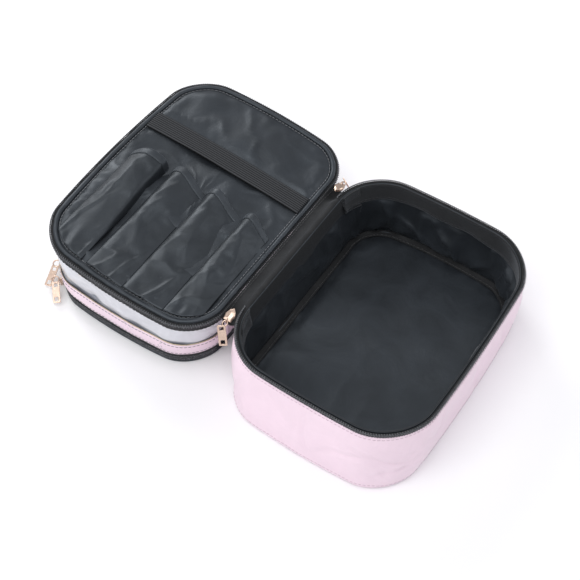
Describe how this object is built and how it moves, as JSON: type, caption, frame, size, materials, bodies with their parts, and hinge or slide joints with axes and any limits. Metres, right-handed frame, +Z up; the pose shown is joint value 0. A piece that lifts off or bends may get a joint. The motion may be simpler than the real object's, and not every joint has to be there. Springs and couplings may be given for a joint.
{
  "type": "makeup train case",
  "caption": "Soft two-layer makeup train case lying open: lower case, clear-walled upper compartment with brush panel and pockets, and a zipped clear lid.",
  "frame": {"origin": "middle of the lower case's flat base, in the plane it stands on", "axes": "+Z up, +X along the main hinge line, +Y from the lower case towards the opened-out upper compartment"},
  "size_m": [0.2697, 0.3974, 0.0874],
  "materials": {
    "pink_leather": "soft semi-gloss coated leather with a faint pearl",
    "black_satin": "satin nylon lining",
    "black_tape": "matt woven zipper tape and grosgrain",
    "black_nylon": "nylon zipper coil",
    "grey_foam": "foam padding",
    "stiff_board": "stiffener board",
    "clear_pvc": "clear flexible vinyl",
    "gold_edge": "metallic edge paint",
    "champagne_metal": "polished champagne plating"
  },
  "bodies": {
    "lower_case": {"lower_wall": "pink_leather", "lower_foam": "grey_foam", "lower_lining": "black_satin", "lower_base": "pink_leather", "base_board": "stiff_board", "floor_pad": "black_satin", "floor_piping": "black_nylon", "lower_zipper_tape": "black_tape", "lower_zipper_coil": "black_nylon", "lower_rim_band": "black_tape", "tape_end_left": "black_tape", "tape_end_right": "black_tape", "hinge_cloth_lower": "black_tape"},
    "upper_case": {"pink_band": "pink_leather", "band_edge_trim": "gold_edge", "clear_wall": "clear_pvc", "upper_back_wall": "pink_leather", "upper_zipper_tape": "black_tape", "upper_zipper_coil": "black_nylon", "panel_binding": "black_tape", "brush_panel": "black_satin", "panel_board": "stiff_board", "elastic_band": "black_tape", "brush_pocket_1": "black_satin", "brush_pocket_2": "black_satin", "brush_pocket_3": "black_satin", "brush_pocket_4": "black_satin", "hinge_cloth_upper": "black_tape", "lid_tape_upper": "black_tape", "lid_coil_upper": "black_nylon", "lid_hinge_upper": "black_tape"},
    "lid": {"lid_tape_lower": "black_tape", "lid_coil_lower": "black_nylon", "lid_binding": "black_tape", "lid_frame": "pink_leather", "lid_window": "clear_pvc", "lid_hinge_lower": "black_tape"},
    "main_slider_left_body": {"main_slider_left": "champagne_metal", "main_bail_left": "champagne_metal"},
    "main_pull_left_body": {"main_pull_left": "champagne_metal"},
    "main_slider_right_body": {"main_slider_right": "champagne_metal", "main_bail_right": "champagne_metal"},
    "main_pull_right_body": {"main_pull_right": "champagne_metal"},
    "lid_slider_a_body": {"lid_slider_a": "champagne_metal"},
    "lid_pull_a_body": {"lid_link_a": "champagne_metal", "lid_pull_a": "champagne_metal"},
    "lid_slider_b_body": {"lid_slider_b": "champagne_metal"},
    "lid_pull_b_body": {"lid_link_b": "champagne_metal", "lid_pull_b": "champagne_metal"}
  },
  "joints": [
    {"name": "main_hinge", "type": "hinge", "parent": "lower_case", "child": "upper_case", "pos_m": [0, 0.10003, 0.07167], "axis": [1, 0, 0], "range_deg": [0, 175.4]},
    {"name": "lid_hinge", "type": "hinge", "parent": "upper_case", "child": "lid", "pos_m": [0, 0.11576, 0.007], "axis": [-1, 0, 0], "range_deg": [0, 110]},
    {"name": "main_slider_left_run", "type": "hinge", "parent": "lower_case", "child": "main_slider_left_body", "pos_m": [-0.07155, 0.0415, 0.0715], "axis": [0, 0, 1], "range_deg": [0, 69.53]},
    {"name": "main_pull_left_swing", "type": "hinge", "parent": "main_slider_left_body", "child": "main_pull_left_body", "pos_m": [-0.09923, 0.09975, 0.06807], "axis": [0, 0.9631, -0.2692], "range_deg": [0, 75]},
    {"name": "main_slider_right_run", "type": "hinge", "parent": "lower_case", "child": "main_slider_right_body", "pos_m": [0.07155, 0.0415, 0.0715], "axis": [0, 0, -1], "range_deg": [0, 69.53]},
    {"name": "main_pull_right_swing", "type": "hinge", "parent": "main_slider_right_body", "child": "main_pull_right_body", "pos_m": [0.09923, 0.09975, 0.06807], "axis": [0, -0.9631, 0.2692], "range_deg": [0, 75]},
    {"name": "lid_slider_a_run", "type": "hinge", "parent": "upper_case", "child": "lid_slider_a_body", "pos_m": [-0.07502, 0.25424, 0.007], "axis": [0, 0, -1], "range_deg": [0, 21.76]},
    {"name": "lid_pull_a_swing", "type": "hinge", "parent": "lid_slider_a_body", "child": "lid_pull_a_body", "pos_m": [-0.09486, 0.29673, 0.01068], "axis": [-0.2924, 0.9563, 0], "range_deg": [0, 95]},
    {"name": "lid_slider_b_run", "type": "hinge", "parent": "upper_case", "child": "lid_slider_b_body", "pos_m": [-0.07516, 0.24511, 0.007], "axis": [0, 0, 1], "range_deg": [0, 33.92]},
    {"name": "lid_pull_b_swing", "type": "hinge", "parent": "lid_slider_b_body", "child": "lid_pull_b_body", "pos_m": [-0.11058, 0.28657, 0.01068], "axis": [-0.6626, 0.749, 0], "range_deg": [0, 95]}
  ]
}
